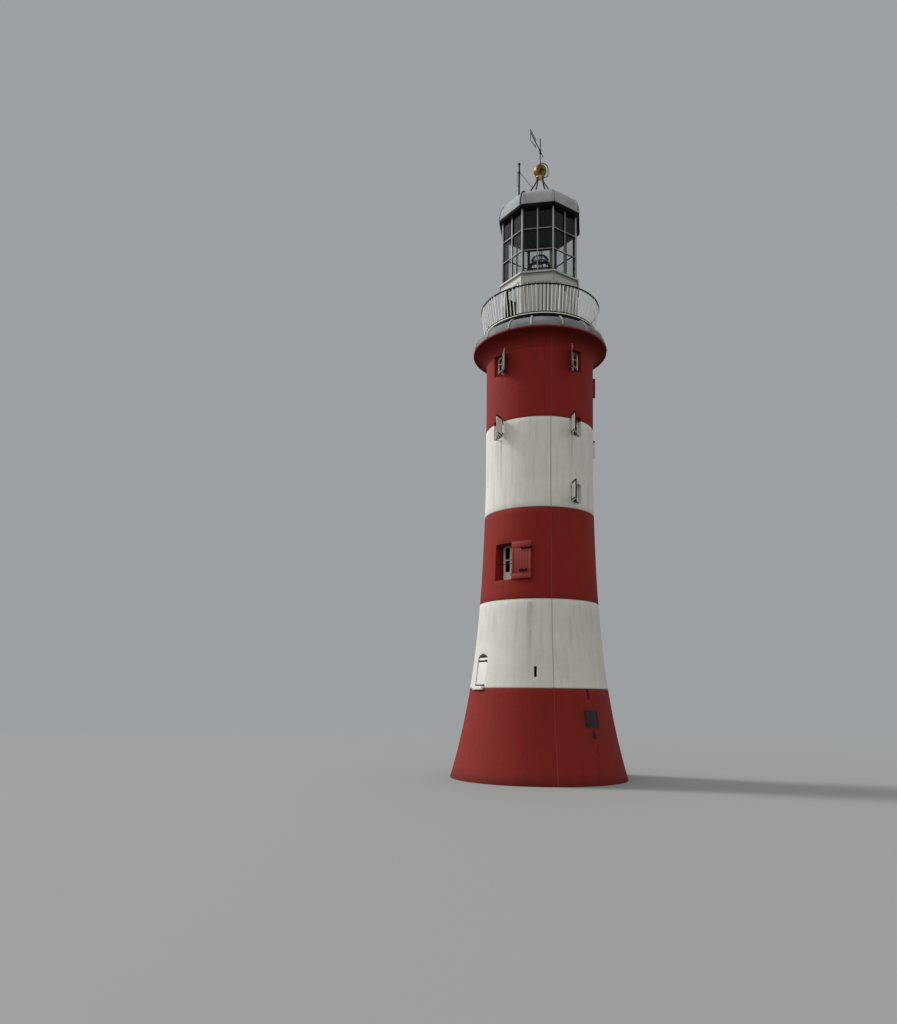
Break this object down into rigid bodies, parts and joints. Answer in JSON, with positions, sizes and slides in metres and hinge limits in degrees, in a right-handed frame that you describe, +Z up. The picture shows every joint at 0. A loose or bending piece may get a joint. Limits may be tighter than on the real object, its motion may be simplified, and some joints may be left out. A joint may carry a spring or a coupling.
{
  "type": "lighthouse tower",
  "caption": "Round masonry lighthouse tower in red and white bands, with a railed gallery, a glazed octagonal lantern, shuttered windows and a turning weather vane.",
  "frame": {"origin": "centre of the tower's round foot, on the ground", "axes": "+Z up the tower, -Y towards the front of the lantern, +X to the right of it"},
  "size_m": [7.4397, 7.4398, 28.2497],
  "materials": {
    "red_masonry": "matte masonry paint",
    "white_masonry": "matte masonry paint",
    "floor_stone": "worn",
    "lead_grey": "weathered matte",
    "white_timber": "painted satin",
    "shutter_timber": "painted satin",
    "red_timber": "painted satin",
    "white_iron": "satin",
    "black_iron": "satin",
    "gilt_metal": "tarnished",
    "window_glass": "clear"
  },
  "bodies": {
    "tower": {"base_wall": "red_masonry", "entrance_wall": "white_masonry", "entrance_sills_and_heads": "white_masonry", "store_wall": "red_masonry", "store_sills_and_heads": "red_masonry", "middle_wall": "white_masonry", "middle_sills_and_heads": "white_masonry", "upper_wall": "red_masonry", "upper_sills_and_heads": "red_masonry", "cornice": "red_masonry", "coping": "lead_grey", "storey_floors": "floor_stone", "gallery_floor": "floor_stone", "window_frames": "white_timber", "window_glass": "window_glass", "shutters": "shutter_timber", "shutter_hinges": "black_iron", "store_doors": "white_timber", "store_door_glass": "window_glass", "store_leaf": "red_timber", "store_leaf_hinges": "black_iron", "store_safety_bar": "black_iron", "entrance_door": "white_timber", "entrance_step": "white_masonry", "railing_posts": "white_iron", "railing_panels": "white_iron", "lantern_wall": "white_timber", "gallery_door": "white_timber", "lantern_sill": "white_timber", "lantern_posts": "white_timber", "lantern_glazing_bars": "white_timber", "lantern_glass": "window_glass", "lantern_eaves": "black_iron", "lantern_ceiling": "black_iron", "lantern_dome": "lead_grey", "candle_rings": "black_iron", "vane_stand_legs": "black_iron", "vane_stand_collar": "gilt_metal", "vane_ball": "gilt_metal", "vane_spindle": "black_iron", "conductor_loop": "black_iron", "signal_pole": "black_iron", "pole_stay": "black_iron"},
    "vane": {"vane_arrow": "black_iron", "vane_banner": "black_iron"}
  },
  "joints": [
    {"name": "vane_turn", "type": "hinge", "parent": "tower", "child": "vane", "pos_m": [0, 0, 27.6797], "axis": [0, 0, 1], "continuous": true}
  ]
}
